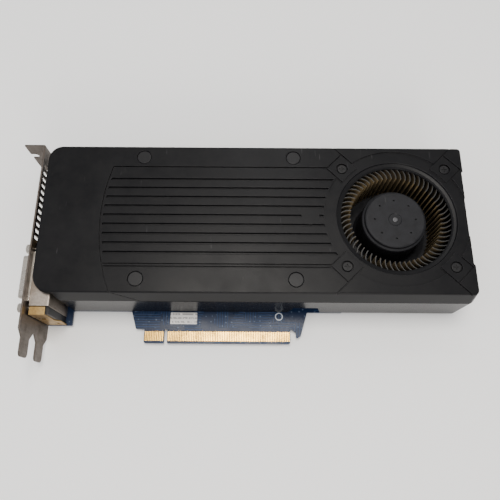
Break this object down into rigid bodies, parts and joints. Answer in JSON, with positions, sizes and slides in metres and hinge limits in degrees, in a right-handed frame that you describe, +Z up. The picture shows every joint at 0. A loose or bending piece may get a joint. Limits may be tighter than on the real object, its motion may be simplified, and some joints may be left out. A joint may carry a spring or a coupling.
{
  "type": "graphics card",
  "caption": "Two-slot graphics card with a black ribbed shroud, a blower fan that spins, a vented steel bracket and a blue circuit board.",
  "frame": {"origin": "the seating corner of the bracket: its outer face, the plane under its tab, and its board-side edge", "axes": "+X from the bracket to the fan end, +Y away from the edge connector, +Z up through the shroud's face"},
  "size_m": [0.2527, 0.1229, 0.0387],
  "materials": {
    "shroud_black": "fine moulded texture, satin",
    "plug_black": "moulded, satin",
    "impeller_black": "moulded, dusty",
    "scroll_black": "moulded",
    "black_screw": "black oxide",
    "base_plate_steel": "black painted sheet",
    "yoke_steel": "plain",
    "magnet_ferrite": "bonded ferrite",
    "shaft_steel": "ground",
    "bearing_brass": "sintered",
    "motor_board": "solder mask",
    "stator_steel": "stamped",
    "winding_copper": "enamelled wire",
    "board_blue": "solder mask",
    "contact_gold": "plated",
    "label_white": "satin label",
    "bracket_steel": "dull plated sheet",
    "nickel_screw": "nickel",
    "socket_black": "moulded",
    "shield_tin": "tinned sheet",
    "side_plate_brass": "yellow passivated sheet",
    "shell_nickel": "nickel plated",
    "insert_white": "moulded",
    "insert_black": "moulded",
    "pin_tin": "tinned",
    "substrate_green": "laminate",
    "die_silicon": "polished",
    "chip_black": "epoxy",
    "sink_copper": "milled copper",
    "fin_aluminium": "rolled sheet",
    "spring_steel": "spring",
    "choke_grey": "pressed ferrite",
    "pad_grey": "thermal pad",
    "vrm_aluminium": "black anodised",
    "can_aluminium": "drawn can",
    "passive_tan": "fired",
    "lead_black": "sleeved lead",
    "header_white": "nylon"
  },
  "bodies": {
    "card": {"shroud": "shroud_black", "shroud_plugs": "plug_black", "fan_screws": "black_screw", "fan_scroll": "scroll_black", "fan_base_plate": "base_plate_steel", "bearing_tube": "bearing_brass", "motor_board": "motor_board", "stator_core": "stator_steel", "stator_windings": "winding_copper", "circuit_board": "board_blue", "edge_contacts": "contact_gold", "bridge_contacts": "contact_gold", "board_label": "label_white", "mounting_bracket": "bracket_steel", "bracket_screws": "nickel_screw", "dvi_housing": "socket_black", "dvi_shield": "shield_tin", "dvi_side_plates": "side_plate_brass", "dvi_shell_lower": "shell_nickel", "dvi_shell_upper": "shell_nickel", "dvi_insert_lower": "insert_white", "dvi_insert_upper": "insert_white", "jack_screws": "nickel_screw", "hdmi_shell": "shell_nickel", "hdmi_insert": "insert_black", "displayport_shell": "shell_nickel", "displayport_insert": "insert_black", "power_sockets": "socket_black", "power_pins": "pin_tin", "gpu_substrate": "substrate_green", "gpu_die": "die_silicon", "memory_chips": "chip_black", "heatsink_base": "sink_copper", "heatsink_fins": "fin_aluminium", "spring_screws": "nickel_screw", "screw_springs": "spring_steel", "back_screws": "black_screw", "chokes": "choke_grey", "mosfets": "chip_black", "thermal_pad": "pad_grey", "regulator_heatsink": "vrm_aluminium", "capacitors": "can_aluminium", "small_chips": "chip_black", "ceramic_passives": "passive_tan", "fan_lead": "lead_black", "fan_header": "header_white", "fan_plug": "header_white"},
    "fan_rotor": {"fan_impeller": "impeller_black", "impeller_blades": "impeller_black", "impeller_ring": "impeller_black", "rotor_yoke": "yoke_steel", "rotor_magnet": "magnet_ferrite", "fan_shaft": "shaft_steel"}
  },
  "joints": [
    {"name": "fan_spin", "type": "hinge", "parent": "card", "child": "fan_rotor", "pos_m": [0.2013, -0.0423, 0.02], "axis": [0, 0, 1], "continuous": true}
  ]
}
